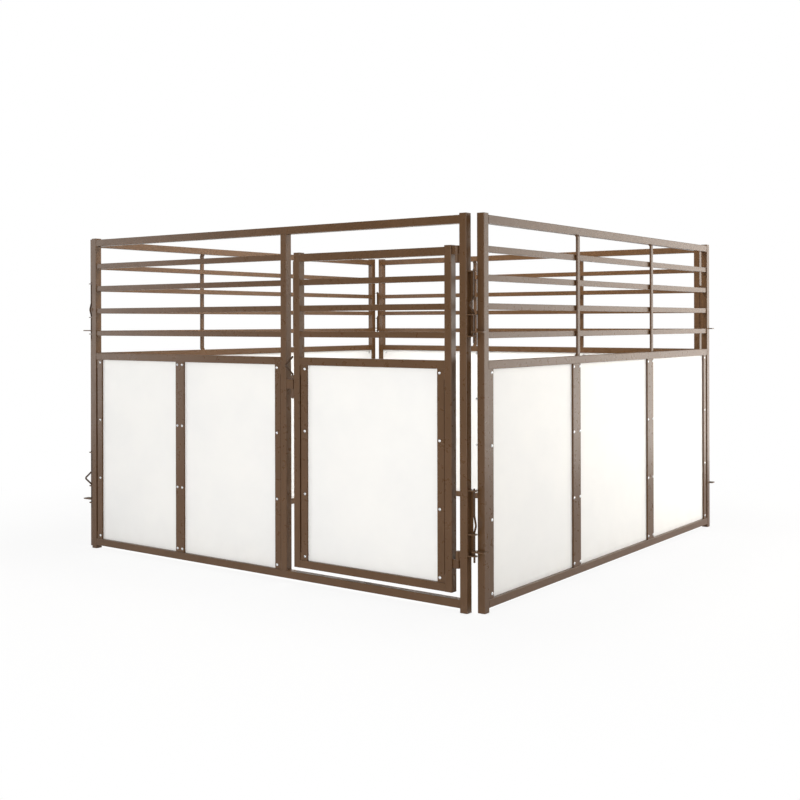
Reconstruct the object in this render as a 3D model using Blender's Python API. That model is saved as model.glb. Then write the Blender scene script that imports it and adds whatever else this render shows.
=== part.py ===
# Horse stall of four pinned panels with boarded walls and a hinged door, metres, +Z up
import math

import bmesh
import bpy
from mathutils import Matrix, Vector

# Panel size, and where the corner pins stand off the panels' ends
PANEL_HALF = 1.7396
PIN_REACH = 0.0364
SIDE_PIN_REACH = 0.0307
SIDE_PIN_INSET = 0.002
POST_ABOVE_RAIL = 0.0105

# Square tube and clearances
TUBE = 0.0508
BAR = 0.0381
WALL = 0.002
TUBE_RADIUS = 0.0025
BAR_RADIUS = 0.002
GAP = 0.0003
WELD = 0.001
DRAIN_RADIUS = 0.005

# Heights of the rails
TOP_RAIL_TOP = 2.3665
MID_RAIL_TOP = 1.4973
BOTTOM_RAIL_TOP = 0.0768
BAR_COUNT = 4

# Boards and the straps that hold them, depths run inwards from the outer face
BOARD_DEPTH = 0.0203
BOARD_THICK = 0.019
BOARD_SIDE_GAP = 0.0005
STRAP_FACE = 0.0065
STRAP_BACK = 0.020
STRAP_FLANGE = 0.016
STRAP_FOOT = 0.004
STRAP_START = 0.008
STRAP_END = 0.0585
STRAP_TOP_TAB = 0.065
STRAP_BOTTOM_TAB = 0.050
WIDE_STRAP = 0.1016
FRONT_STRAP = 0.084
STRAP_AT = 0.5835
FRONT_FIRST_BOARD = 0.9318

# Grille stiffeners on the three plain panels
STIFFENER_WIDTH = 0.0381
STIFFENER_PROUD = 0.0095
STIFFENER_ROOT = 0.006
STIFFENER_BEND = 0.013
STIFFENER_BEND_SHARE = 0.55

# Door opening and door leaf, along the front panel
DOORWAY = 1.3981
LATCH_SIDE_GAP = 0.0678
HINGE_SIDE_GAP = 0.0588
GAP_OVER_DOOR = 0.1257
STILE_ABOVE_RAIL = 0.0095
GAP_UNDER_DOOR = 0.0337

# Hinges
HINGE_FROM_POST = 0.0224
HINGE_DEPTH = 0.014
TOP_HINGE_DROP = 0.057
LOW_HINGE_RISE = 0.2005
HINGE_RADIUS = 0.014
HINGE_PIN_RADIUS = 0.0075
HINGE_BORE_RADIUS = 0.0080
HINGE_LENGTH = 0.052
HINGE_PIN_REACH = 0.048
HINGE_LEAF = 0.008
HINGE_LINK = 0.012

# Connector brackets and rods at the corners
EAR_RADIUS = 0.019
EAR_THICK = 0.0064
SIDE_EAR_THICK = 0.0079
SIDE_EAR_PROUD = 0.0242
SIDE_EAR_CORNER = 0.004
BRACKET_WIDTH = 0.042
BRACKET_PLATE = 0.004
BRACKET_FLANGE = 0.0165
LOW_BRACKET = 0.342
HIGH_BRACKET_DROP = 0.734
MIDDLE_EAR_UP = 0.1285
TOP_EAR_UP = 0.387
SIDE_EAR_UP = 0.0265
ROD_RADIUS = 0.00635
ROD_HOLE_RADIUS = 0.00715
ROD_BELOW = 0.040
ROD_ABOVE = 0.013
ROD_BEND = 0.012
HANDLE_START = 0.138
HANDLE_HEIGHT = 0.100
HANDLE_REACH = 0.049
ROD_TIP = 0.0025
TIP_SHARE = 0.6
HANDLE_TURNS = {
    "front_left": (225.0, 310.0),
    "front_right": (315.0, 276.0),
    "back_left": (96.0, 96.0),
    "back_right": (84.0, 84.0),
}

# Door latch, stacked upwards from the rod's lower end
LATCH_DROP = 0.225
LATCH_ROD_BELOW = 0.0045
LOWER_GUIDE_HEIGHT = 0.0595
KEEPER_HEIGHT = 0.0635
UPPER_GUIDE_HEIGHT = 0.024
LATCH_STACK_GAP = 0.0015
LATCH_HANDLE_RISE = 0.0105
LATCH_HANDLE_HEIGHT = 0.1112
LATCH_STUB = 0.008
LATCH_REACH = 0.050
LATCH_TURN = 235.0
LATCH_FROM_POST = 0.0339
GUIDE_RADIUS = 0.0112
GUIDE_LINK = 0.016
KEEPER_PAST_ROD = 0.0254
KEEPER_INSET = 0.003
KEEPER_BORE_RADIUS = 0.008

CIRCLE_STEPS = 16
CORNER_STEPS = 2
BEND_STEPS = 4

STEEL = (0.085, 0.052, 0.032, 1.0)
ROD_STEEL = (0.060, 0.040, 0.028, 1.0)
BOARD_WHITE = (0.86, 0.86, 0.85, 1.0)

MID_RAIL_BOTTOM = MID_RAIL_TOP - TUBE
TOP_RAIL_BOTTOM = TOP_RAIL_TOP - TUBE
BAR_SPACE = (TOP_RAIL_BOTTOM - MID_RAIL_TOP - BAR_COUNT * BAR) / (BAR_COUNT + 1)
BAR_INSET = (TUBE - BAR) / 2
PIN_X = PANEL_HALF + PIN_REACH
PIN_Y = PANEL_HALF + SIDE_PIN_REACH
HALF_WIDTH = PIN_X + SIDE_PIN_INSET + TUBE
HALF_DEPTH = PIN_Y + TUBE / 2
POST_TOP = TOP_RAIL_TOP + POST_ABOVE_RAIL
POST_INNER = PANEL_HALF - TUBE
FRONT_STRAP_AT = FRONT_FIRST_BOARD - POST_INNER
MIDDLE_POST_RIGHT = POST_INNER - DOORWAY
MIDDLE_POST_AT = MIDDLE_POST_RIGHT - TUBE
DOOR_LEFT = MIDDLE_POST_RIGHT + LATCH_SIDE_GAP
DOOR_RIGHT = POST_INNER - HINGE_SIDE_GAP
DOOR_TOP = TOP_RAIL_BOTTOM - GAP_OVER_DOOR
DOOR_TOP_RAIL_TOP = DOOR_TOP - STILE_ABOVE_RAIL
DOOR_BOTTOM = BOTTOM_RAIL_TOP + GAP_UNDER_DOOR
HINGE_X = POST_INNER - HINGE_FROM_POST
HINGE_HEIGHTS = ((DOOR_TOP - TOP_HINGE_DROP, 1), (DOOR_BOTTOM + LOW_HINGE_RISE, -1))
BRACKET_BASES = (LOW_BRACKET, POST_TOP - HIGH_BRACKET_DROP)
LATCH_X = MIDDLE_POST_RIGHT + LATCH_FROM_POST
KEEPER_RIGHT = LATCH_X + KEEPER_PAST_ROD
LATCH_BOTTOM = MID_RAIL_BOTTOM - LATCH_DROP
LOWER_GUIDE_LOW = LATCH_BOTTOM + LATCH_ROD_BELOW
LOWER_GUIDE = (LOWER_GUIDE_LOW, LOWER_GUIDE_LOW + LOWER_GUIDE_HEIGHT)
KEEPER_LOW = LOWER_GUIDE[1] + LATCH_STACK_GAP
KEEPER = (KEEPER_LOW, KEEPER_LOW + KEEPER_HEIGHT)
UPPER_GUIDE_LOW = KEEPER[1] + LATCH_STACK_GAP
UPPER_GUIDE = (UPPER_GUIDE_LOW, UPPER_GUIDE_LOW + UPPER_GUIDE_HEIGHT)
LATCH_HANDLE_LOW = UPPER_GUIDE[1] + LATCH_HANDLE_RISE
LATCH_HANDLE_TOP = LATCH_HANDLE_LOW + LATCH_HANDLE_HEIGHT

FRAMES = {
    "front": (Vector((0, -HALF_DEPTH, 0)), 0),
    "right": (Vector((HALF_WIDTH, 0, 0)), 90),
    "back": (Vector((0, HALF_DEPTH, 0)), 180),
    "left": (Vector((-HALF_WIDTH, 0, 0)), 270),
}
PIVOTS = {
    "front": Vector((0, 0, 0)),
    "right": Vector((PIN_X, -PIN_Y, 0)),
    "back": Vector((PIN_X, PIN_Y, 0)),
    "left": Vector((-PIN_X, -PIN_Y, 0)),
}

for old in list(bpy.data.objects):
    bpy.data.objects.remove(old, do_unlink=True)


def rounded(width, height, radius, at=(0.0, 0.0)):
    points = []
    for side_u, side_v, start in ((1, 1, 0), (-1, 1, 90), (-1, -1, 180), (1, -1, 270)):
        centre_u = at[0] + side_u * (width / 2 - radius)
        centre_v = at[1] + side_v * (height / 2 - radius)
        for step in range(CORNER_STEPS + 1):
            turn = math.radians(start + 90 * step / CORNER_STEPS)
            points.append((centre_u + radius * math.cos(turn), centre_v + radius * math.sin(turn)))
    return points


def circle(radius, at=(0.0, 0.0)):
    turns = [math.tau * step / CIRCLE_STEPS for step in range(CIRCLE_STEPS)]
    return [(at[0] + radius * math.cos(turn), at[1] + radius * math.sin(turn)) for turn in turns]


def hull(points):
    def half(ordered):
        chain = []
        for point in ordered:
            while len(chain) > 1:
                a, b = chain[-2], chain[-1]
                if (b[0] - a[0]) * (point[1] - a[1]) - (b[1] - a[1]) * (point[0] - a[0]) > 1e-12:
                    break
                chain.pop()
            chain.append(point)
        return chain[:-1]
    ordered = sorted(points)
    return half(ordered) + half(ordered[::-1])


def spot(axis, u, v, along):
    return Vector({"x": (along, u, v), "y": (u, along, v), "z": (u, v, along)}[axis])


def skin(rings, closed_loop=False):
    mesh = bmesh.new()
    rows = [[mesh.verts.new(point) for point in ring] for ring in rings]
    count = len(rows[0])
    pairs = list(zip(rows, rows[1:]))
    if closed_loop:
        pairs.append((rows[-1], rows[0]))
    for low, high in pairs:
        for step in range(count):
            after = (step + 1) % count
            mesh.faces.new((low[step], low[after], high[after], high[step]))
    if not closed_loop:
        mesh.faces.new(rows[0][::-1])
        mesh.faces.new(rows[-1])
    bmesh.ops.recalc_face_normals(mesh, faces=mesh.faces[:])
    return mesh


def prism(axis, outline, start, end):
    return skin([[spot(axis, u, v, along) for u, v in outline] for along in (start, end)])


def block(low, high):
    corners = ((low[0], low[1]), (high[0], low[1]), (high[0], high[1]), (low[0], high[1]))
    return prism("z", corners, low[2], high[2])


def tube(axis, size, radius, at, start, end):
    outer = rounded(size, size, radius, at)
    inner = rounded(size - 2 * WALL, size - 2 * WALL, radius - WALL / 2, at)
    ends = ((outer, start), (outer, end), (inner, end), (inner, start))
    rings = [[spot(axis, u, v, along) for u, v in outline] for outline, along in ends]
    return skin(rings, closed_loop=True)


def cavity(axis, size, at, start, end):
    inner = size - 2 * WALL
    return prism(axis, rounded(inner, inner, TUBE_RADIUS - WALL / 2, at), start, end)


def scratch(mesh):
    data = bpy.data.meshes.new("scratch")
    mesh.to_mesh(data)
    mesh.free()
    item = bpy.data.objects.new("scratch", data)
    item.hide_render = True
    item.display_type = "WIRE"
    bpy.context.scene.collection.objects.link(item)
    return item


def fused(body, joins, cuts):
    base = scratch(body)
    for action, tools in (("UNION", joins), ("DIFFERENCE", cuts)):
        for tool in tools:
            modifier = base.modifiers.new(action, "BOOLEAN")
            modifier.operation = action
            modifier.solver = "EXACT"
            modifier.object = scratch(tool)
    graph = bpy.context.evaluated_depsgraph_get()
    data = bpy.data.meshes.new_from_object(base.evaluated_get(graph))
    result = bmesh.new()
    result.from_mesh(data)
    bmesh.ops.remove_doubles(result, verts=result.verts[:], dist=0.00001)
    for item in list(bpy.data.objects):
        if item.name.startswith("scratch"):
            bpy.data.objects.remove(item, do_unlink=True)
    return result


def rounded_path(points, radius):
    path = [points[0]]
    for before, corner, after in zip(points, points[1:], points[2:]):
        back = (Vector(before) - Vector(corner)).normalized()
        ahead = (Vector(after) - Vector(corner)).normalized()
        half_turn = back.angle(ahead) / 2
        reach = radius / math.tan(half_turn)
        middle = Vector(corner) + (back + ahead).normalized() * (radius / math.sin(half_turn))
        first = (Vector(corner) + back * reach - middle).normalized()
        last = (Vector(corner) + ahead * reach - middle).normalized()
        for step in range(BEND_STEPS + 1):
            path.append(tuple(middle + first.slerp(last, step / BEND_STEPS) * radius))
    path.append(points[-1])
    return path


def swept(axis, path, section, tip=0.0):
    rings = []
    for step, (across, up) in enumerate(path):
        before = Vector(path[max(step - 1, 0)])
        after = Vector(path[min(step + 1, len(path) - 1)])
        along = (after - before).normalized()
        normal = Vector((along.y, -along.x))
        rings.append([(across + n * normal.x, up + n * normal.y, w) for w, n in section])
    if tip:
        for end, inner in ((0, 1), (-1, -2)):
            tail = Vector(path[end])
            run = (Vector(path[inner]) - tail).normalized() * tip
            slim = [(tail.x + (a - tail.x) * TIP_SHARE, tail.y + (b - tail.y) * TIP_SHARE, w * TIP_SHARE)
                    for a, b, w in rings[end]]
            wide = [(a + run.x, b + run.y, w) for a, b, w in rings[end]]
            rings = [slim, wide] + rings[1:] if end == 0 else rings[:-1] + [wide, slim]
    if axis == "x":
        return skin([[Vector((a, w, b)) for a, b, w in ring] for ring in rings])
    return skin([[Vector((w, a, b)) for a, b, w in ring] for ring in rings])


def paint(name, colour, roughness, metallic):
    material = bpy.data.materials.new(name)
    material.use_nodes = True
    shader = material.node_tree.nodes["Principled BSDF"]
    shader.inputs["Base Color"].default_value = colour
    shader.inputs["Roughness"].default_value = roughness
    shader.inputs["Metallic"].default_value = metallic
    material.diffuse_color = colour
    return material


def empty(name, at, turn=0.0):
    item = bpy.data.objects.new(name, None)
    item.location = at
    item.rotation_euler = (0, 0, math.radians(turn))
    bpy.context.scene.collection.objects.link(item)
    return item


def finish(name, mesh, parent, at, colour=STEEL, roughness=0.38, metallic=0.0):
    bmesh.ops.recalc_face_normals(mesh, faces=mesh.faces[:])
    data = bpy.data.meshes.new(name)
    mesh.to_mesh(data)
    mesh.free()
    data.shade_smooth()
    data.set_sharp_from_angle(angle=math.radians(30))
    data.materials.append(paint(name + "_paint", colour, roughness, metallic))
    item = bpy.data.objects.new(name, data)
    item.parent = parent
    item.location = at
    bpy.context.scene.collection.objects.link(item)
    return item


def edge_strap(face_x, side, low, high):
    def across(value):
        return face_x + side * value
    channel = [(-WELD, STRAP_BACK), (STRAP_END, STRAP_BACK), (STRAP_END, STRAP_FACE),
               (STRAP_START, STRAP_FACE), (STRAP_FOOT, STRAP_FLANGE), (-WELD, STRAP_FLANGE)]
    tab = [(-WELD, STRAP_BACK - WELD), (STRAP_START + WELD, STRAP_BACK - WELD),
           (STRAP_START + WELD, STRAP_FACE), (-WELD, STRAP_FACE)]
    parts = [prism("z", [(across(u), v) for u, v in channel], low, high)]
    for start, end in ((low + WELD, low + STRAP_BOTTOM_TAB), (high - STRAP_TOP_TAB, high - WELD)):
        parts.append(prism("z", [(across(u), v) for u, v in tab], start, end))
    return parts


def post_shell(left_x, low, high):
    centre = (left_x + TUBE / 2, TUBE / 2)
    return prism("z", rounded(TUBE, TUBE, TUBE_RADIUS, centre), low, high)


def post_hollow(left_x, low, high):
    centre = (left_x + TUBE / 2, TUBE / 2)
    hollow = cavity("z", TUBE, centre, low + WALL, high - WALL)
    drain = prism("z", circle(DRAIN_RADIUS, centre), low - WALL, low + 2 * WALL)
    return [hollow, drain]


def corner_bracket(end_x, side):
    pin = (end_x + side * PIN_REACH, TUBE / 2)
    near = end_x - side * WELD
    edge = BRACKET_WIDTH / 2
    outline = hull(circle(EAR_RADIUS, pin) + [(near, pin[1] - edge), (near, pin[1] + edge)])
    joins = []
    cuts = []
    for base in BRACKET_BASES:
        for up in (0.0, MIDDLE_EAR_UP, TOP_EAR_UP):
            joins.append(prism("z", outline, base + up - EAR_THICK / 2, base + up + EAR_THICK / 2))
        plate_x = sorted((near, end_x + side * BRACKET_PLATE))
        joins.append(block((plate_x[0], pin[1] - edge, base - EAR_THICK),
                           (plate_x[1], pin[1] + edge, base + TOP_EAR_UP + EAR_THICK)))
        flange_x = sorted((near, end_x + side * BRACKET_FLANGE))
        joins.append(block((flange_x[0], pin[1] + edge - BRACKET_PLATE, base),
                           (flange_x[1], pin[1] + edge, base + TOP_EAR_UP)))
        cuts.append(prism("z", circle(ROD_HOLE_RADIUS, pin), base - ROD_BELOW,
                          base + TOP_EAR_UP + ROD_BELOW))
    return joins, cuts


def corner_ear(end_x, side):
    pin = (side * PIN_Y, HALF_WIDTH - PIN_X)
    near = end_x - side * WELD
    corner = (pin[0] + side * (EAR_RADIUS - SIDE_EAR_CORNER), SIDE_EAR_CORNER - SIDE_EAR_PROUD)
    outline = hull(circle(EAR_RADIUS, pin) + circle(SIDE_EAR_CORNER, corner)
                   + [(near, -SIDE_EAR_PROUD), (near, TUBE - TUBE_RADIUS)])
    joins = []
    cuts = []
    for base in BRACKET_BASES:
        middle = base + SIDE_EAR_UP
        joins.append(prism("z", outline, middle - SIDE_EAR_THICK / 2, middle + SIDE_EAR_THICK / 2))
        cuts.append(prism("z", circle(ROD_HOLE_RADIUS, pin), middle - SIDE_EAR_THICK,
                          middle + SIDE_EAR_THICK))
    return joins, cuts


def hinge_barrel(on_post):
    pin = (HINGE_X, HINGE_DEPTH)
    joins = []
    cuts = []
    for middle, side in HINGE_HEIGHTS:
        way = -side if on_post else side
        low, high = sorted((middle + way * GAP, middle + way * HINGE_LENGTH))
        joins.append(prism("z", circle(HINGE_RADIUS, pin), low, high))
        if on_post:
            link = (HINGE_X, POST_INNER + WELD, HINGE_LINK / 2)
            shaft = sorted((middle - side * HINGE_LENGTH / 2, middle + side * HINGE_PIN_REACH))
            joins.append(prism("z", circle(HINGE_PIN_RADIUS, pin), *shaft))
        else:
            link = (DOOR_RIGHT - WELD, HINGE_X, HINGE_LEAF / 2)
            cuts.append(prism("z", circle(HINGE_BORE_RADIUS, pin), low - WELD, high + WELD))
        joins.append(block((link[0], HINGE_DEPTH - link[2], low), (link[1], HINGE_DEPTH + link[2], high)))
    return joins, cuts


def stiffener(at_x):
    inner = BAR_INSET - GAP
    thick = inner + STIFFENER_PROUD
    middle = (inner - STIFFENER_PROUD) / 2
    low = MID_RAIL_TOP
    high = TOP_RAIL_BOTTOM
    corners = [(STIFFENER_ROOT, low - WELD), (STIFFENER_ROOT, low + STIFFENER_BEND / 3),
               (middle, low + STIFFENER_BEND), (middle, high - STIFFENER_BEND),
               (STIFFENER_ROOT, high - STIFFENER_BEND / 3), (STIFFENER_ROOT, high - GAP)]
    section = [(at_x + u, v) for u, v in rounded(STIFFENER_WIDTH, thick, thick / 3)]
    return swept("y", rounded_path(corners, thick * STIFFENER_BEND_SHARE), section)


def wide_strap(at_x, width):
    corners = ((at_x - width / 2, STRAP_FACE), (at_x + width / 2, STRAP_FACE),
               (at_x + width / 2, STRAP_BACK), (at_x - width / 2, STRAP_BACK))
    return prism("z", corners, BOTTOM_RAIL_TOP + GAP, MID_RAIL_BOTTOM + WELD)


def board(left, right, low, high):
    return block((left, BOARD_DEPTH, low), (right, BOARD_DEPTH + BOARD_THICK, high))


def rail(low_x, high_x, top):
    return tube("x", TUBE, TUBE_RADIUS, (TUBE / 2, top - TUBE / 2), low_x + GAP, high_x - GAP)


def bar_heights():
    step = BAR + BAR_SPACE
    return [TOP_RAIL_BOTTOM - BAR_SPACE - BAR / 2 - index * step for index in range(BAR_COUNT)]


def bar(low_x, high_x, middle):
    return tube("x", BAR, BAR_RADIUS, (TUBE / 2, middle), low_x + GAP, high_x - GAP)


def panel_frame(side):
    origin, turn = FRAMES[side]
    parent = empty(side + "_pivot", PIVOTS[side], turn)
    at = Matrix.Rotation(math.radians(-turn), 3, "Z") @ (origin - PIVOTS[side])
    return parent, at


def grille_and_boards(side, parent, at, left, right, seams, strap_width, stiffeners):
    straps = [wide_strap(seam, strap_width) for seam in seams]
    braces = [stiffener(seam) for seam in seams] if stiffeners else []
    middle = fused(rail(left, right, MID_RAIL_TOP), straps + braces, [])
    finish(side + "_rail_middle", middle, parent, at)
    for index, height in enumerate(bar_heights(), 1):
        finish(f"{side}_bar_{index}", bar(left, right, height), parent, at)
    edges = [left, *seams, right]
    for index, (low_x, high_x) in enumerate(zip(edges, edges[1:]), 1):
        sheet = board(low_x + BOARD_SIDE_GAP, high_x - BOARD_SIDE_GAP,
                      BOTTOM_RAIL_TOP + GAP, MID_RAIL_BOTTOM - GAP)
        finish(f"{side}_board_{index}", sheet, parent, at, BOARD_WHITE, 0.45)


def end_post(side, end, connector, parent, at):
    name = "left" if end < 0 else "right"
    end_x = end * PANEL_HALF
    left_x = end_x if end < 0 else end_x - TUBE
    joins, cuts = connector(end_x, end)
    if side == "front" and end > 0:
        more_joins, more_cuts = hinge_barrel(True)
    else:
        more_joins = edge_strap(end_x - end * TUBE, -end, BOTTOM_RAIL_TOP + GAP, MID_RAIL_BOTTOM - GAP)
        more_cuts = []
    body = fused(post_shell(left_x, 0.0, POST_TOP), joins + more_joins,
                 cuts + more_cuts + post_hollow(left_x, 0.0, POST_TOP))
    finish(f"{side}_post_{name}", body, parent, at)


def plain_panel(side, connector):
    parent, at = panel_frame(side)
    for end in (-1, 1):
        end_post(side, end, connector, parent, at)
    finish(side + "_rail_top", rail(-POST_INNER, POST_INNER, TOP_RAIL_TOP), parent, at)
    finish(side + "_rail_bottom", rail(-POST_INNER, POST_INNER, BOTTOM_RAIL_TOP), parent, at)
    seams = (-STRAP_AT, STRAP_AT)
    grille_and_boards(side, parent, at, -POST_INNER, POST_INNER, seams, WIDE_STRAP, True)
    return parent


def front_panel():
    parent, at = panel_frame("front")
    for end in (-1, 1):
        end_post("front", end, corner_bracket, parent, at)
    finish("front_rail_top", rail(-POST_INNER, POST_INNER, TOP_RAIL_TOP), parent, at)
    finish("front_rail_bottom", rail(-POST_INNER, POST_INNER, BOTTOM_RAIL_TOP), parent, at)
    seams = (FRONT_STRAP_AT,)
    grille_and_boards("front", parent, at, -POST_INNER, MIDDLE_POST_AT, seams, FRONT_STRAP, False)
    low = BOTTOM_RAIL_TOP + GAP
    high = TOP_RAIL_BOTTOM - GAP
    keeper = block((MIDDLE_POST_RIGHT - WELD, KEEPER_INSET, KEEPER[0]),
                   (KEEPER_RIGHT, TUBE - KEEPER_INSET, KEEPER[1]))
    bore = prism("z", circle(KEEPER_BORE_RADIUS, (LATCH_X, TUBE / 2)), KEEPER[0] - WELD, KEEPER[1] + WELD)
    strap = edge_strap(MIDDLE_POST_AT, -1, low, MID_RAIL_BOTTOM - GAP)
    body = fused(post_shell(MIDDLE_POST_AT, low, high), strap + [keeper],
                 post_hollow(MIDDLE_POST_AT, low, high) + [bore])
    finish("front_post_middle", body, parent, at)
    return parent


def door_leaf(front):
    parent = empty("door_pivot", (HINGE_X, HINGE_DEPTH - HALF_DEPTH, 0))
    parent.parent = front
    at = Vector((-HINGE_X, -HINGE_DEPTH, 0))
    left = DOOR_LEFT + TUBE
    right = DOOR_RIGHT - TUBE
    low = DOOR_BOTTOM + TUBE
    joins = [post_shell(right, DOOR_BOTTOM, DOOR_TOP)]
    cuts = post_hollow(right, DOOR_BOTTOM, DOOR_TOP) + post_hollow(DOOR_LEFT, DOOR_BOTTOM, DOOR_TOP)
    members = [(TUBE, TUBE_RADIUS, top - TUBE / 2) for top in (DOOR_TOP_RAIL_TOP, MID_RAIL_TOP, low)]
    members += [(BAR, BAR_RADIUS, height) for height in bar_heights()[1:]]
    for size, radius, height in members:
        centre = (TUBE / 2, height)
        joins.append(prism("x", rounded(size, size, radius, centre), left - WELD, right + WELD))
        cuts.append(cavity("x", size, centre, left - 2 * WALL, right + 2 * WALL))
    for face_x, side in ((left, 1), (right, -1)):
        joins += edge_strap(face_x, side, low - WELD, MID_RAIL_BOTTOM + WELD)
    for start, end in (UPPER_GUIDE, LOWER_GUIDE):
        joins.append(prism("z", circle(GUIDE_RADIUS, (LATCH_X, TUBE / 2)), start, end))
        joins.append(block((LATCH_X, (TUBE - GUIDE_LINK) / 2, start),
                           (DOOR_LEFT + WELD, (TUBE + GUIDE_LINK) / 2, end)))
        cuts.append(prism("z", circle(ROD_HOLE_RADIUS, (LATCH_X, TUBE / 2)), start - WELD, end + WELD))
    more_joins, more_cuts = hinge_barrel(False)
    body = fused(post_shell(DOOR_LEFT, DOOR_BOTTOM, DOOR_TOP), joins + more_joins, cuts + more_cuts)
    finish("door_frame", body, parent, at)
    sheet = board(left + BOARD_SIDE_GAP, right - BOARD_SIDE_GAP, low + GAP, MID_RAIL_BOTTOM - GAP)
    finish("door_board", sheet, parent, at, BOARD_WHITE, 0.45)
    middle = (LATCH_HANDLE_LOW + LATCH_HANDLE_TOP) / 2
    corners = [(0.0, LATCH_BOTTOM), (0.0, LATCH_HANDLE_LOW), (LATCH_REACH, middle),
               (0.0, LATCH_HANDLE_TOP), (0.0, LATCH_HANDLE_TOP + LATCH_STUB)]
    rod = swept("x", rounded_path(corners, ROD_BEND), circle(ROD_RADIUS), ROD_TIP)
    item = finish("latch_rod", rod, parent, (LATCH_X - HINGE_X, TUBE / 2 - HINGE_DEPTH, 0), ROD_STEEL)
    item.rotation_euler = (0, 0, math.radians(LATCH_TURN))


def connector_rods(parents):
    for side, row in (("front", -1), ("back", 1)):
        for column in (-1, 1):
            across = "right" if column > 0 else "left"
            turns = HANDLE_TURNS[f"{side}_{across}"]
            for name, base, turn in zip(("low", "high"), BRACKET_BASES, turns):
                corners = [(0.0, -ROD_BELOW), (0.0, HANDLE_START),
                           (HANDLE_REACH, HANDLE_START + HANDLE_HEIGHT / 2),
                           (0.0, HANDLE_START + HANDLE_HEIGHT), (0.0, TOP_EAR_UP + ROD_ABOVE)]
                rod = swept("x", rounded_path(corners, ROD_BEND), circle(ROD_RADIUS), ROD_TIP)
                pin = Vector((column * PIN_X, row * PIN_Y, base))
                frame_turn = FRAMES[side][1]
                at = Matrix.Rotation(math.radians(-frame_turn), 3, "Z") @ (pin - PIVOTS[side])
                item = finish(f"rod_{side}_{across}_{name}", rod, parents[side], at, ROD_STEEL)
                item.rotation_euler = (0, 0, math.radians(turn - frame_turn))


front_parent = front_panel()
panel_parents = {"front": front_parent}
panel_parents["right"] = plain_panel("right", corner_ear)
panel_parents["back"] = plain_panel("back", corner_bracket)
panel_parents["left"] = plain_panel("left", corner_ear)
door_leaf(front_parent)
connector_rods(panel_parents)
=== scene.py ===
import math

import bmesh
import bpy
from mathutils import Matrix, Vector


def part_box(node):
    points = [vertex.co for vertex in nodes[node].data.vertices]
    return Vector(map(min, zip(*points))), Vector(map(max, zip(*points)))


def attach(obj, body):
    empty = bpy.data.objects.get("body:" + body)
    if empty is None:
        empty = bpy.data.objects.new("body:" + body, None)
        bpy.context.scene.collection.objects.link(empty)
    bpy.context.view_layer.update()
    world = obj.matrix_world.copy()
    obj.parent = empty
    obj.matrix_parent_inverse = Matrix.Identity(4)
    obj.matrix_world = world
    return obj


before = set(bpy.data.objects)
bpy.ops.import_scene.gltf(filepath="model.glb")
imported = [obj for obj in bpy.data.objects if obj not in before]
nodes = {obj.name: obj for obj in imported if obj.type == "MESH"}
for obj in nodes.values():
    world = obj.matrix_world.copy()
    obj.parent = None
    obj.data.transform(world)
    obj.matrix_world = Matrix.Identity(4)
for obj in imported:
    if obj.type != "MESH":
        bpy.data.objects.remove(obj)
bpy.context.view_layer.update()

print("frame loaded:", len(nodes), "nodes")

# Where things stand, read off the solids. Each panel is drawn in its own frame: x along it,
# y inwards from its outer face
solidSettings = {
    "weldGap": 0.0003,         # left between a rail and its post
    "boardGap": 0.0005,        # left between a board and its post
    "strapFace": 0.0065,       # depth of the straps' outer face
    "stileAboveRail": 0.0095,  # the door's stiles stand above its top rail
}


def measureSolids(settings):
    railLow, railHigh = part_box("front_rail_top")
    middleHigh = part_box("front_rail_middle")[1]
    doorLow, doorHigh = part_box("door_board")
    barLow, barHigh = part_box("front_bar_1")
    bars = [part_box(f"front_bar_{index}") for index in range(1, 5)]
    return {
        "halfWidth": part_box("right_rail_top")[1].x,
        "halfDepth": -railLow.y,
        "postInner": railHigh.x + settings["weldGap"],
        "tube": railHigh.y - railLow.y,
        "bar": barHigh.z - barLow.z,
        "topRail": railHigh.z,
        "midRail": middleHigh.z,
        "bottomRail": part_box("front_rail_bottom")[1].z,
        "bars": sorted((low.z + high.z) / 2 for low, high in bars),
        "boardBack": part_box("front_board_1")[1].y - railLow.y,
        "strapFace": settings["strapFace"],
        "middlePost": middleHigh.x + settings["weldGap"],      # left face of the post beside the door
        "doorInner": (doorLow.x - settings["boardGap"], doorHigh.x + settings["boardGap"]),
        "doorTopRail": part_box("door_frame")[1].z - settings["stileAboveRail"],
        "doorLowRail": doorLow.z - settings["weldGap"],
    }


layout = measureSolids(solidSettings)
panelFrames = {
    "front": ((0, -layout["halfDepth"]), 0),
    "right": ((layout["halfWidth"], 0), 90),
    "back": ((0, layout["halfDepth"]), 180),
    "left": ((-layout["halfWidth"], 0), 270),
}


def panelMatrix(side):
    (x, y), turn = panelFrames[side]
    return Matrix.Translation((x, y, 0)) @ Matrix.Rotation(math.radians(turn), 4, "Z")


# Camera and light

cameraSettings = {
    "place": (5.4562, -7.2995, 1.7253),
    "yaw": 35.075,       # turned left from straight along +Y
    "pitch": 0.018,
    "roll": -0.134,
    "lens": 50.50,
    "sensor": 36.0,
    "farEnd": 100.0,
    "shift": (-0.0574, -0.09725),
}


def addCamera(settings):
    data = bpy.data.cameras.new("stallCamera")
    data.lens = settings["lens"]
    data.sensor_width = settings["sensor"]
    data.shift_x, data.shift_y = settings["shift"]
    data.clip_end = settings["farEnd"]
    camera = bpy.data.objects.new("stallCamera", data)
    turn = Matrix.Rotation(math.radians(settings["yaw"]), 4, "Z")
    tilt = Matrix.Rotation(math.radians(90 + settings["pitch"]), 4, "X")
    roll = Matrix.Rotation(math.radians(settings["roll"]), 4, "Z")
    camera.matrix_world = Matrix.Translation(settings["place"]) @ turn @ tilt @ roll
    bpy.context.scene.collection.objects.link(camera)
    bpy.context.scene.camera = camera


addCamera(cameraSettings)

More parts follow.
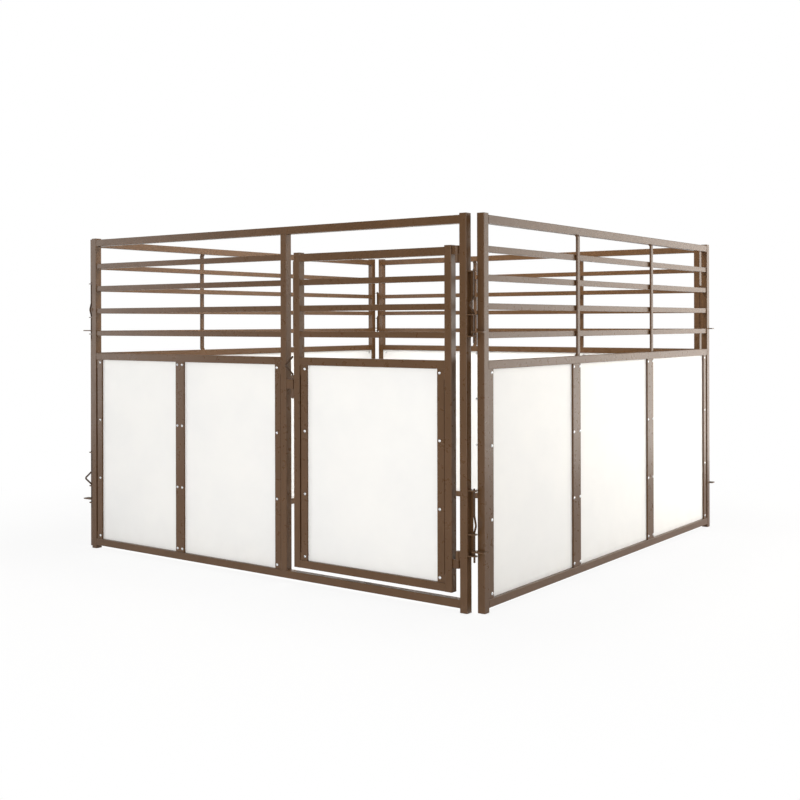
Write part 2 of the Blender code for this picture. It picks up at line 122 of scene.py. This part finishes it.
lightSettings = {
    "sky": (1.0, 0.985, 0.96),
    "skyStrength": 0.38,
    "lamps": {
        "front": {"place": (2.5, -9.5, 1.8), "aim": (0.2, -1.8, 1.0), "size": (5.0, 3.6), "power": 332,
                  "color": (1.0, 0.985, 0.965)},
        "right": {"place": (9.5, -1.5, 3.4), "aim": (1.8, 0.2, 1.2), "size": (5.0, 4.0), "power": 105,
                  "color": (1.0, 0.985, 0.965)},
        "left": {"place": (-9.0, -6.4, 2.2), "aim": (-1.6, -1.8, 1.2), "size": (4.0, 4.4), "power": 190,
                 "color": (1.0, 0.99, 0.98)},
        "farRight": {"place": (5.0, 4.3, 1.9), "aim": (2.2, 0.0, 1.5), "size": (5.8, 3.8), "power": 250,
                     "color": (1.0, 0.955, 0.89)},
        "inside": {"place": (0.3, -0.5, 4.6), "aim": (0.0, 0.3, 0.0), "size": (2.4, 2.4), "power": 210,
                   "color": (1.0, 0.97, 0.93)},
    },
}


def addSoftLight(name, values):
    data = bpy.data.lights.new(name, "AREA")
    data.shape = "RECTANGLE"
    data.size, data.size_y = values["size"]
    data.energy = values["power"]
    data.color = values["color"]
    light = bpy.data.objects.new(name, data)
    light.location = values["place"]
    aim = Vector(values["aim"]) - Vector(values["place"])
    light.rotation_euler = aim.to_track_quat("-Z", "Y").to_euler()
    light.visible_camera = False
    bpy.context.scene.collection.objects.link(light)


def addSky(settings):
    world = bpy.data.worlds.new("studio")
    bpy.context.scene.world = world
    world.use_nodes = True
    tree = world.node_tree
    tree.nodes.clear()
    output = tree.nodes.new("ShaderNodeOutputWorld")
    soft = tree.nodes.new("ShaderNodeBackground")
    soft.inputs["Color"].default_value = (*settings["sky"], 1)
    soft.inputs["Strength"].default_value = settings["skyStrength"]
    white = tree.nodes.new("ShaderNodeBackground")
    white.inputs["Color"].default_value = (1, 1, 1, 1)
    white.inputs["Strength"].default_value = 1.0
    path = tree.nodes.new("ShaderNodeLightPath")
    both = tree.nodes.new("ShaderNodeMath")
    both.operation = "MAXIMUM"
    tree.links.new(path.outputs["Is Camera Ray"], both.inputs[0])
    tree.links.new(path.outputs["Is Transmission Ray"], both.inputs[1])
    mix = tree.nodes.new("ShaderNodeMixShader")
    tree.links.new(both.outputs[0], mix.inputs[0])
    tree.links.new(soft.outputs[0], mix.inputs[1])
    tree.links.new(white.outputs[0], mix.inputs[2])
    tree.links.new(mix.outputs[0], output.inputs["Surface"])


addSky(lightSettings)
for lamp, values in lightSettings["lamps"].items():
    addSoftLight(lamp + "Lamp", values)
bpy.context.scene.view_settings.view_transform = "Standard"
print("camera and light placed")


# Shader groups shared by the finishes

def newGroup(name, inputs, outputs):  # what goes in and comes out is a plain value each
    group = bpy.data.node_groups.new(name, "ShaderNodeTree")
    for label, value in inputs.items():
        socket = group.interface.new_socket(label, in_out="INPUT", socket_type="NodeSocketFloat")
        socket.default_value = value
    for label in outputs:
        group.interface.new_socket(label, in_out="OUTPUT", socket_type="NodeSocketFloat")
    return group, group.nodes.new("NodeGroupInput"), group.nodes.new("NodeGroupOutput")


def addMath(tree, operation, first, second=None, clamp=False):
    node = tree.nodes.new("ShaderNodeMath")
    node.operation = operation
    node.use_clamp = clamp
    for socket, value in zip(node.inputs, (first, second)):
        if value is None:
            continue
        if isinstance(value, (int, float)):
            socket.default_value = value
        else:
            tree.links.new(value, socket)
    return node.outputs[0]


def addNoise(tree, vector, scale, detail, roughness):
    node = tree.nodes.new("ShaderNodeTexNoise")
    node.inputs["Detail"].default_value = detail
    node.inputs["Roughness"].default_value = roughness
    if isinstance(scale, (int, float)):
        node.inputs["Scale"].default_value = scale
    else:
        tree.links.new(scale, node.inputs["Scale"])
    tree.links.new(vector, node.inputs["Vector"])
    return node.outputs["Fac"]


def addRange(tree, value, low, high, toLow=0.0, toHigh=1.0):
    node = tree.nodes.new("ShaderNodeMapRange")
    node.interpolation_type = "SMOOTHSTEP"
    node.inputs["From Min"].default_value = low
    node.inputs["From Max"].default_value = high
    node.inputs["To Min"].default_value = toLow
    node.inputs["To Max"].default_value = toHigh
    tree.links.new(value, node.inputs["Value"])
    return node.outputs["Result"]


def addMix(tree, factor, first, second):
    node = tree.nodes.new("ShaderNodeMix")
    node.data_type = "RGBA"
    for socket, value in ((node.inputs[0], factor), (node.inputs[6], first), (node.inputs[7], second)):
        if isinstance(value, tuple):
            socket.default_value = value
        else:
            tree.links.new(value, socket)
    return node.outputs[2]


def addBump(tree, shader, height, finish):
    bump = tree.nodes.new("ShaderNodeBump")
    bump.inputs["Strength"].default_value = finish["bump"]
    bump.inputs["Distance"].default_value = finish["bumpDepth"]
    tree.links.new(height, bump.inputs["Height"])
    tree.links.new(bump.outputs["Normal"], shader.inputs["Normal"])


rubAndHighlightSettings = {
    "samples": 4,
    "edge": (0.004, 0.09),      # from the hint of an edge to a sharp one
    "detail": (4.0, 0.6),
    "patches": (0.38, 0.66),
}


def makeEdgeRubAndHighlight(settings):  # mask of edges that hands, hooves and handling wear down; on the powder coats its lighter edge colour is also a painted highlight where edges catch light
    inputs = {"Radius": 0.003, "Breakup": 40.0, "Amount": 0.5}
    group, inside, outside = newGroup("edgeRubAndHighlight", inputs, ("Mask",))
    bevel = group.nodes.new("ShaderNodeBevel")
    bevel.samples = settings["samples"]
    group.links.new(inside.outputs["Radius"], bevel.inputs["Radius"])
    geometry = group.nodes.new("ShaderNodeNewGeometry")
    dot = group.nodes.new("ShaderNodeVectorMath")
    dot.operation = "DOT_PRODUCT"
    group.links.new(bevel.outputs["Normal"], dot.inputs[0])
    group.links.new(geometry.outputs["Normal"], dot.inputs[1])
    edge = addMath(group, "SUBTRACT", 1.0, dot.outputs["Value"])
    edge = addRange(group, edge, *settings["edge"])
    coords = group.nodes.new("ShaderNodeTexCoord")
    patches = addNoise(group, coords.outputs["Object"], inside.outputs["Breakup"], *settings["detail"])
    broken = addRange(group, patches, *settings["patches"])
    mask = addMath(group, "MULTIPLY", edge, broken)
    mask = addMath(group, "MULTIPLY", mask, inside.outputs["Amount"], clamp=True)
    group.links.new(mask, outside.inputs["Mask"])
    return group


dustSettings = {
    "upward": (0.55, 0.98),     # how far up a face looks before dust lies on it
    "lowShare": 0.5,            # dust low on the panels, against that on upward faces
    "scale": 9.0,
    "detail": (5.0, 0.6),
    "patches": (0.30, 0.72, 0.25, 1.0),
}


def makeDustFall(settings):  # faint dust on upward faces and low on the panels
    group, inside, outside = newGroup("dustFall", {"Amount": 0.3, "Low": 0.25}, ("Mask",))
    geometry = group.nodes.new("ShaderNodeNewGeometry")
    split = group.nodes.new("ShaderNodeSeparateXYZ")
    group.links.new(geometry.outputs["Normal"], split.inputs[0])
    upward = addRange(group, split.outputs["Z"], *settings["upward"])
    coords = group.nodes.new("ShaderNodeTexCoord")
    place = group.nodes.new("ShaderNodeSeparateXYZ")
    group.links.new(coords.outputs["Object"], place.inputs[0])
    height = addMath(group, "DIVIDE", place.outputs["Z"], inside.outputs["Low"])
    low = addMath(group, "SUBTRACT", 1.0, height, clamp=True)
    low = addMath(group, "MULTIPLY", low, settings["lowShare"])
    patches = addNoise(group, coords.outputs["Object"], settings["scale"], *settings["detail"])
    patches = addRange(group, patches, *settings["patches"])
    both = addMath(group, "MAXIMUM", upward, low)
    mask = addMath(group, "MULTIPLY", both, patches)
    mask = addMath(group, "MULTIPLY", mask, inside.outputs["Amount"], clamp=True)
    group.links.new(mask, outside.inputs["Mask"])
    return group


skinSettings = {
    "peel": (2.0, 0.5),
    "wave": (3.0, 0.5),
    "peelShare": 0.6,           # fine peel against long waves in the height
    "toneScale": 3.1,
    "tone": (4.0, 0.6),
    "smearScale": 22.0,
    "smear": (4.0, 0.65),
    "contrast": (0.3, 0.7),
}


def makeCoatSkin(settings):  # the slight waviness of sprayed and baked powder
    group, inside, outside = newGroup("coatSkin", {"Size": 260.0, "Wave": 14.0}, ("Height", "Tone", "Gloss"))
    coords = group.nodes.new("ShaderNodeTexCoord")
    peel = addNoise(group, coords.outputs["Object"], inside.outputs["Size"], *settings["peel"])
    wave = addNoise(group, coords.outputs["Object"], inside.outputs["Wave"], *settings["wave"])
    peel = addMath(group, "MULTIPLY", peel, settings["peelShare"])
    wave = addMath(group, "MULTIPLY", wave, 1 - settings["peelShare"])
    tone = addNoise(group, coords.outputs["Object"], settings["toneScale"], *settings["tone"])
    smear = addNoise(group, coords.outputs["Object"], settings["smearScale"], *settings["smear"])
    group.links.new(addMath(group, "ADD", peel, wave), outside.inputs["Height"])
    group.links.new(addRange(group, tone, *settings["contrast"]), outside.inputs["Tone"])
    group.links.new(addRange(group, smear, *settings["contrast"]), outside.inputs["Gloss"])
    return group


edgeRubAndHighlight = makeEdgeRubAndHighlight(rubAndHighlightSettings)
dustFall = makeDustFall(dustSettings)
coatSkin = makeCoatSkin(skinSettings)


def useGroup(tree, group, **values):
    node = tree.nodes.new("ShaderNodeGroup")
    node.node_tree = group
    for label, value in values.items():
        node.inputs[label].default_value = value
    return node


def newMaterial(name):
    material = bpy.data.materials.new(name)
    material.use_nodes = True
    return material, material.node_tree, material.node_tree.nodes["Principled BSDF"]


coatFinish = {
    "deep": (0.093, 0.046, 0.018, 1),
    "pale": (0.105, 0.053, 0.023, 1),
    # lighter edge colour: partly wear, partly a painted highlight where edges catch light
    "rubbedAndHighlit": (0.20, 0.135, 0.09, 1),
    "dust": (0.34, 0.27, 0.21, 1),
    "dustReach": 0.3,           # height to which the ground's dust climbs
    "dustRoughness": 0.35,
    "roughness": (0.27, 0.33),
    "specular": 0.28,
    "skin": {"Size": 260.0, "Wave": 14.0},
    "edge": {"Radius": 0.003, "Breakup": 28.0},
    "bump": 0.03,
    "bumpDepth": 0.001,
}
# painted shade: the rods carry the same brown coat, drawn here as a darker copy; their pale grey edges are
# partly wear, partly painted highlight
rodShadedFinish = dict(coatFinish, deep=(0.055, 0.027, 0.012, 1), pale=(0.070, 0.036, 0.018, 1),
                 rubbedAndHighlit=(0.30, 0.27, 0.24, 1), roughness=(0.20, 0.28))
weldFinish = dict(coatFinish, bump=0.3)


def makePowderCoat(name, finish, rubAndHighlight, dust):
    material, tree, shader = newMaterial(name)
    skin = useGroup(tree, coatSkin, **finish["skin"])
    color = addMix(tree, skin.outputs["Tone"], finish["deep"], finish["pale"])
    dusty = useGroup(tree, dustFall, Amount=dust, Low=finish["dustReach"])
    color = addMix(tree, dusty.outputs["Mask"], color, finish["dust"])
    # lighter edges: wear, and a painted highlight along the edges
    rubAndHighlightMask = useGroup(tree, edgeRubAndHighlight, Amount=rubAndHighlight, **finish["edge"])
    color = addMix(tree, rubAndHighlightMask.outputs["Mask"], color, finish["rubbedAndHighlit"])
    tree.links.new(color, shader.inputs["Base Color"])
    rough = addRange(tree, skin.outputs["Gloss"], 0.0, 1.0, *finish["roughness"])
    dull = addMath(tree, "MULTIPLY", dusty.outputs["Mask"], finish["dustRoughness"])
    tree.links.new(addMath(tree, "ADD", rough, dull, clamp=True), shader.inputs["Roughness"])
    shader.inputs["Specular IOR Level"].default_value = finish["specular"]
    addBump(tree, shader, skin.outputs["Height"], finish)
    return material


boardFinish = {
    "white": (0.86, 0.86, 0.85, 1),
    "cool": (0.82, 0.825, 0.825, 1),
    "scuff": (0.60, 0.57, 0.52, 1),
    "cloudScale": 1.6,
    "cloud": (4.0, 0.6),
    "contrast": (0.3, 0.7),
    "dust": {"Amount": 0.35, "Low": 0.30},
    "edge": {"Radius": 0.002, "Breakup": 30.0, "Amount": 0.35},
    "skin": {"Size": 420.0, "Wave": 30.0},
    "roughness": (0.40, 0.52),
    "specular": 0.2,
    "bump": 0.05,
    "bumpDepth": 0.0008,
}


def makeBoardPlastic(name, finish):
    material, tree, shader = newMaterial(name)
    coords = tree.nodes.new("ShaderNodeTexCoord")
    cloud = addNoise(tree, coords.outputs["Object"], finish["cloudScale"], *finish["cloud"])
    cloud = addRange(tree, cloud, *finish["contrast"])
    color = addMix(tree, cloud, finish["white"], finish["cool"])
    dusty = useGroup(tree, dustFall, **finish["dust"])
    color = addMix(tree, dusty.outputs["Mask"], color, finish["scuff"])
    rubAndHighlightMask = useGroup(tree, edgeRubAndHighlight, **finish["edge"])
    color = addMix(tree, rubAndHighlightMask.outputs["Mask"], color, finish["scuff"])
    tree.links.new(color, shader.inputs["Base Color"])
    skin = useGroup(tree, coatSkin, **finish["skin"])
    rough = addRange(tree, skin.outputs["Gloss"], 0.0, 1.0, *finish["roughness"])
    tree.links.new(rough, shader.inputs["Roughness"])
    shader.inputs["Specular IOR Level"].default_value = finish["specular"]
    addBump(tree, shader, skin.outputs["Height"], finish)
    return material


zincFinish = {
    "bright": (0.72, 0.73, 0.74, 1),
    "dull": (0.50, 0.51, 0.52, 1),
    "skin": {"Size": 700.0, "Wave": 120.0},
    "roughness": (0.22, 0.42),
    "bump": 0.10,
    "bumpDepth": 0.0004,
}


def makeZinc(name, finish):
    material, tree, shader = newMaterial(name)
    skin = useGroup(tree, coatSkin, **finish["skin"])
    color = addMix(tree, skin.outputs["Tone"], finish["bright"], finish["dull"])
    tree.links.new(color, shader.inputs["Base Color"])
    shader.inputs["Metallic"].default_value = 1.0
    rough = addRange(tree, skin.outputs["Gloss"], 0.0, 1.0, *finish["roughness"])
    tree.links.new(rough, shader.inputs["Roughness"])
    addBump(tree, shader, skin.outputs["Height"], finish)
    return material


brownCoat = makePowderCoat("brownPowderCoat", coatFinish, rubAndHighlight=0.25, dust=0.10)
rodShadedCoat = makePowderCoat("rodShadedPowderCoat", rodShadedFinish, rubAndHighlight=0.4, dust=0.08)
weldCoat = makePowderCoat("weldPowderCoat", weldFinish, rubAndHighlight=0.15, dust=0.1)
boardWhite = makeBoardPlastic("boardPolyethylene", boardFinish)
zinc = makeZinc("zincBolt", zincFinish)

for name, node in nodes.items():
    # the rods take the darker copy of the coat, painted shade
    finish = boardWhite if "board" in name else rodShadedCoat if "rod" in name else brownCoat
    node.data.materials.clear()
    node.data.materials.append(finish)
print("finishes placed")


# Carriage bolts: a low dome on the strap outside, a nut on the board inside

boltSettings = {
    "rows": (1.4265, 0.988, 0.5445, 0.1035),
    "doorRows": (1.4225, 1.013, 0.600, 0.1885),
    "washer": (0.0105, 0.0018),        # radius, thickness
    "nut": (0.0083, 0.0080, 0.0011),   # corner radius, height, chamfer
    "end": (0.0046, 0.0035),           # radius, how far it stands past the nut
    "head": (0.0098, 0.0042),          # radius, height
    "strapAt": 0.5835,                 # middle of a strap behind a seam between boards
    "strapPair": 0.041,                # from there to each of its two columns
    "frontStrapAt": -0.757,
    "frontStrapPair": 0.0245,
    "fromPost": 0.041,                 # from a post to its column
    "turns": (37, 101),                # degrees that a nut turns on from column to column and row to row
    "sides": {"washer": 14, "stub": 10, "head": (14, 8)},
    "washerTaper": 0.96,
    "stubChamfer": 0.2,                # share of the stub's radius
    "smooth": 35,                      # degrees below which an edge is shaded smooth
}


def makeNut(settings):  # washer, hexagon nut and the bolt's cut end
    mesh = bmesh.new()
    sides = settings["sides"]
    radius, thick = settings["washer"]
    bmesh.ops.create_cone(mesh, cap_ends=True, segments=sides["washer"], radius1=radius,
                          radius2=radius * settings["washerTaper"], depth=thick,
                          matrix=Matrix.Translation((0, 0, thick / 2)))
    corner, height, chamfer = settings["nut"]
    hexagon = bmesh.new()
    bmesh.ops.create_cone(hexagon, cap_ends=True, segments=6, radius1=corner, radius2=corner, depth=height,
                          matrix=Matrix.Translation((0, 0, thick + height / 2)))
    top = max(hexagon.faces, key=lambda face: face.calc_center_median().z)
    bmesh.ops.bevel(hexagon, geom=list(top.edges), offset=chamfer, offset_type="OFFSET", affect="EDGES",
                    segments=1, profile=0.5, material=-1)
    addTo(mesh, hexagon)
    end, proud = settings["end"]
    stub = bmesh.new()
    length = height + proud
    bmesh.ops.create_cone(stub, cap_ends=True, segments=sides["stub"], radius1=end, radius2=end,
                          depth=length, matrix=Matrix.Translation((0, 0, thick + length / 2)))
    top = max(stub.faces, key=lambda face: face.calc_center_median().z)
    bmesh.ops.bevel(stub, geom=list(top.edges), offset=end * settings["stubChamfer"], offset_type="OFFSET",
                    affect="EDGES", segments=1, profile=0.5, material=-1)
    addTo(mesh, stub)
    return mesh


def makeHead(settings):  # the low dome of a carriage bolt
    mesh = bmesh.new()
    radius, height = settings["head"]
    around, upward = settings["sides"]["head"]
    bmesh.ops.create_uvsphere(mesh, u_segments=around, v_segments=upward, radius=radius)
    bmesh.ops.bisect_plane(mesh, geom=mesh.verts[:] + mesh.edges[:] + mesh.faces[:], plane_co=(0, 0, 0),
                           plane_no=(0, 0, 1), clear_inner=True)
    bmesh.ops.holes_fill(mesh, edges=[edge for edge in mesh.edges if edge.is_boundary])
    bmesh.ops.scale(mesh, vec=(1, 1, height / radius), verts=mesh.verts)
    bmesh.ops.recalc_face_normals(mesh, faces=mesh.faces)
    return mesh


def addTo(target, source, matrix=None):
    if matrix is not None:
        bmesh.ops.transform(source, matrix=matrix, verts=source.verts)
    data = bpy.data.meshes.new("part")
    source.to_mesh(data)
    source.free()
    target.from_mesh(data)
    bpy.data.meshes.remove(data)


def finishPiece(name, mesh, body, material, angle):
    data = bpy.data.meshes.new(name)
    mesh.to_mesh(data)
    mesh.free()
    data.shade_smooth()
    data.set_sharp_from_angle(angle=math.radians(angle))
    data.materials.append(material)
    piece = bpy.data.objects.new(name, data)
    bpy.context.scene.collection.objects.link(piece)
    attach(piece, body)


def boltColumns(left, right, straps, pair, settings):
    columns = [left + settings["fromPost"], right - settings["fromPost"]]
    for strap in straps:
        columns += [strap - pair, strap + pair]
    return columns


def addBolts(name, side, body, columns, rows, settings):
    place = panelMatrix(side)
    outwards = Matrix.Rotation(math.radians(90), 4, "X")
    inwards = Matrix.Rotation(math.radians(-90), 4, "X")
    columnTurn, rowTurn = settings["turns"]
    mesh = bmesh.new()
    for column, x in enumerate(columns):
        for row, z in enumerate(rows):
            turn = math.radians(columnTurn * column + rowTurn * row)
            spun = Matrix.Rotation(turn, 4, "Z")   # nuts stop where they are tight
            outside = Matrix.Translation((x, layout["strapFace"], z)) @ outwards
            addTo(mesh, makeHead(settings), place @ outside)
            inside = Matrix.Translation((x, layout["boardBack"], z)) @ inwards @ spun
            addTo(mesh, makeNut(settings), place @ inside)
    finishPiece(name, mesh, body, zinc, settings["smooth"])


postInner = layout["postInner"]
straps = (-boltSettings["strapAt"], boltSettings["strapAt"])
for side in ("right", "back", "left"):
    columns = boltColumns(-postInner, postInner, straps, boltSettings["strapPair"], boltSettings)
    addBolts(side + "_bolts", side, side + "_panel", columns, boltSettings["rows"], boltSettings)
columns = boltColumns(-postInner, layout["middlePost"], (boltSettings["frontStrapAt"],),
                      boltSettings["frontStrapPair"], boltSettings)
addBolts("front_bolts", "front", "front_panel", columns, boltSettings["rows"], boltSettings)
columns = boltColumns(*layout["doorInner"], (), 0, boltSettings)
addBolts("door_bolts", "front", "door", columns, boltSettings["doorRows"], boltSettings)
print("bolts placed")


# Weld beads round each rail and bar, where it meets its post

weldSettings = {
    "railBead": 0.0015,  # radius of a bead
    "barBead": 0.0027,
    "ripple": 0.16,
    "pitch": 0.0042,     # length of one ripple
    "sides": 3,          # resolution of the bead's section
    "corner": 0.05,      # corner radius as a share of the tube's width
    "doorBars": 3,
    "swell": ((2.1, 0.6), (0.73, 0.4)),     # pace and share of the two waves in a bead
    "smooth": 60,
}


def squareLoop(size, radius, pitch):  # evenly spaced points round a rounded square
    mesh = bmesh.new()
    bmesh.ops.create_grid(mesh, x_segments=1, y_segments=1, size=size / 2)
    bmesh.ops.bevel(mesh, geom=mesh.verts[:], offset=radius, offset_type="OFFSET", affect="VERTICES",
                    segments=3, profile=0.5, material=-1)
    face = mesh.faces[:][0]
    corners = [loop.vert.co.copy() for loop in face.loops]
    mesh.free()
    points = []
    for start, end in zip(corners, corners[1:] + corners[:1]):
        count = max(1, round((end - start).length / pitch))
        points += [start.lerp(end, step / count) for step in range(count)]
    return points


def addBead(spline, loop, matrix, bead, settings):
    spline.points.add(len(loop) - 1)
    for index, point in enumerate(loop):
        place = matrix @ point
        spline.points[index].co = (*place, 1)
        swell = sum(math.sin(index * pace) * share for pace, share in settings["swell"])
        spline.points[index].radius = bead * (1 + settings["ripple"] * swell)
    spline.use_cyclic_u = True


def addWelds(name, side, body, joints, settings):
    curve = bpy.data.curves.new(name + "Path", "CURVE")
    curve.dimensions = "3D"
    curve.bevel_depth = 1.0
    curve.bevel_resolution = settings["sides"] - 2
    stand = Matrix.Rotation(math.radians(90), 4, "Y")
    for x, z, size, bead in joints:
        loop = squareLoop(size, size * settings["corner"], settings["pitch"])
        place = panelMatrix(side) @ Matrix.Translation((x, layout["tube"] / 2, z)) @ stand
        addBead(curve.splines.new("POLY"), loop, place, bead, settings)
    path = bpy.data.objects.new(name + "Path", curve)
    bpy.context.scene.collection.objects.link(path)
    graph = bpy.context.evaluated_depsgraph_get()
    data = bpy.data.meshes.new_from_object(path.evaluated_get(graph))
    bpy.data.objects.remove(path, do_unlink=True)
    mesh = bmesh.new()
    mesh.from_mesh(data)
    bpy.data.meshes.remove(data)
    bmesh.ops.remove_doubles(mesh, verts=mesh.verts[:], dist=0.00001)
    bmesh.ops.recalc_face_normals(mesh, faces=mesh.faces[:])
    finishPiece(name, mesh, body, weldCoat, settings["smooth"])


def frameJoints(left, right, rails, bars):
    sized = [(z - layout["tube"] / 2, layout["tube"], weldSettings["railBead"]) for z in rails]
    sized += [(z, layout["bar"], weldSettings["barBead"]) for z in bars]
    return [(x, z, size, bead) for z, size, bead in sized for x in (left, right)]


fullRails = (layout["topRail"], layout["bottomRail"])
for side in ("right", "back", "left"):
    joints = frameJoints(-postInner, postInner, (*fullRails, layout["midRail"]), layout["bars"])
    addWelds(side + "_welds", side, side + "_panel", joints, weldSettings)
joints = frameJoints(-postInner, postInner, fullRails, ())
joints += frameJoints(-postInner, layout["middlePost"], (layout["midRail"],), layout["bars"])
addWelds("front_welds", "front", "front_panel", joints, weldSettings)
doorRails = (layout["doorTopRail"], layout["midRail"], layout["doorLowRail"])
joints = frameJoints(*layout["doorInner"], doorRails, layout["bars"][:weldSettings["doorBars"]])
addWelds("door_welds", "front", "door", joints, weldSettings)
print("welds placed")


# Floor

floorSettings = {
    "size": 80.0,
    "color": (0.90, 0.90, 0.895, 1),
    "shadowShare": 0.10,     # how much of the shaded floor shows near the stall
    "shadowReach": (2.6, 5.0),
    "contact": 0.022,        # reach of the painted contact shadow, a darker line right under a foot
    "contactRange": (0.30, 0.95),
    "contactSamples": 8,
    "roughness": 0.9,
}


def addFloor(settings):
    mesh = bmesh.new()
    bmesh.ops.create_grid(mesh, x_segments=1, y_segments=1, size=settings["size"] / 2)
    data = bpy.data.meshes.new("floor")
    mesh.to_mesh(data)
    mesh.free()
    floor = bpy.data.objects.new("floor", data)
    bpy.context.scene.collection.objects.link(floor)
    material, tree, shader = newMaterial("paleFloor")
    shader.inputs["Base Color"].default_value = settings["color"]
    shader.inputs["Roughness"].default_value = settings["roughness"]
    shader.inputs["Specular IOR Level"].default_value = 0.0
    white = tree.nodes.new("ShaderNodeEmission")
    white.inputs["Color"].default_value = (1, 1, 1, 1)
    coords = tree.nodes.new("ShaderNodeTexCoord")
    reach = tree.nodes.new("ShaderNodeVectorMath")
    reach.operation = "LENGTH"
    tree.links.new(coords.outputs["Object"], reach.inputs[0])
    shade = addRange(tree, reach.outputs["Value"], *settings["shadowReach"], settings["shadowShare"], 0.0)
    path = tree.nodes.new("ShaderNodeLightPath")
    seen = addMath(tree, "MAXIMUM", path.outputs["Is Camera Ray"], path.outputs["Is Glossy Ray"])
    seen = addMath(tree, "MAXIMUM", seen, path.outputs["Is Transmission Ray"])  # shown as plain white
    # painted contact shadow: where ambient occlusion is strong right under a foot, the white gives way to
    # the shaded floor
    near = tree.nodes.new("ShaderNodeAmbientOcclusion")
    near.samples = settings["contactSamples"]
    near.inputs["Distance"].default_value = settings["contact"]
    paintedContactShade = addRange(tree, near.outputs["AO"], *settings["contactRange"], 1.0, 0.0)
    shade = addMath(tree, "MAXIMUM", shade, paintedContactShade)
    plain = addMath(tree, "MULTIPLY", seen, addMath(tree, "SUBTRACT", 1.0, shade))
    mix = tree.nodes.new("ShaderNodeMixShader")
    tree.links.new(plain, mix.inputs[0])
    tree.links.new(shader.outputs[0], mix.inputs[1])
    tree.links.new(white.outputs[0], mix.inputs[2])
    tree.links.new(mix.outputs[0], tree.nodes["Material Output"].inputs["Surface"])
    data.materials.append(material)


addFloor(floorSettings)
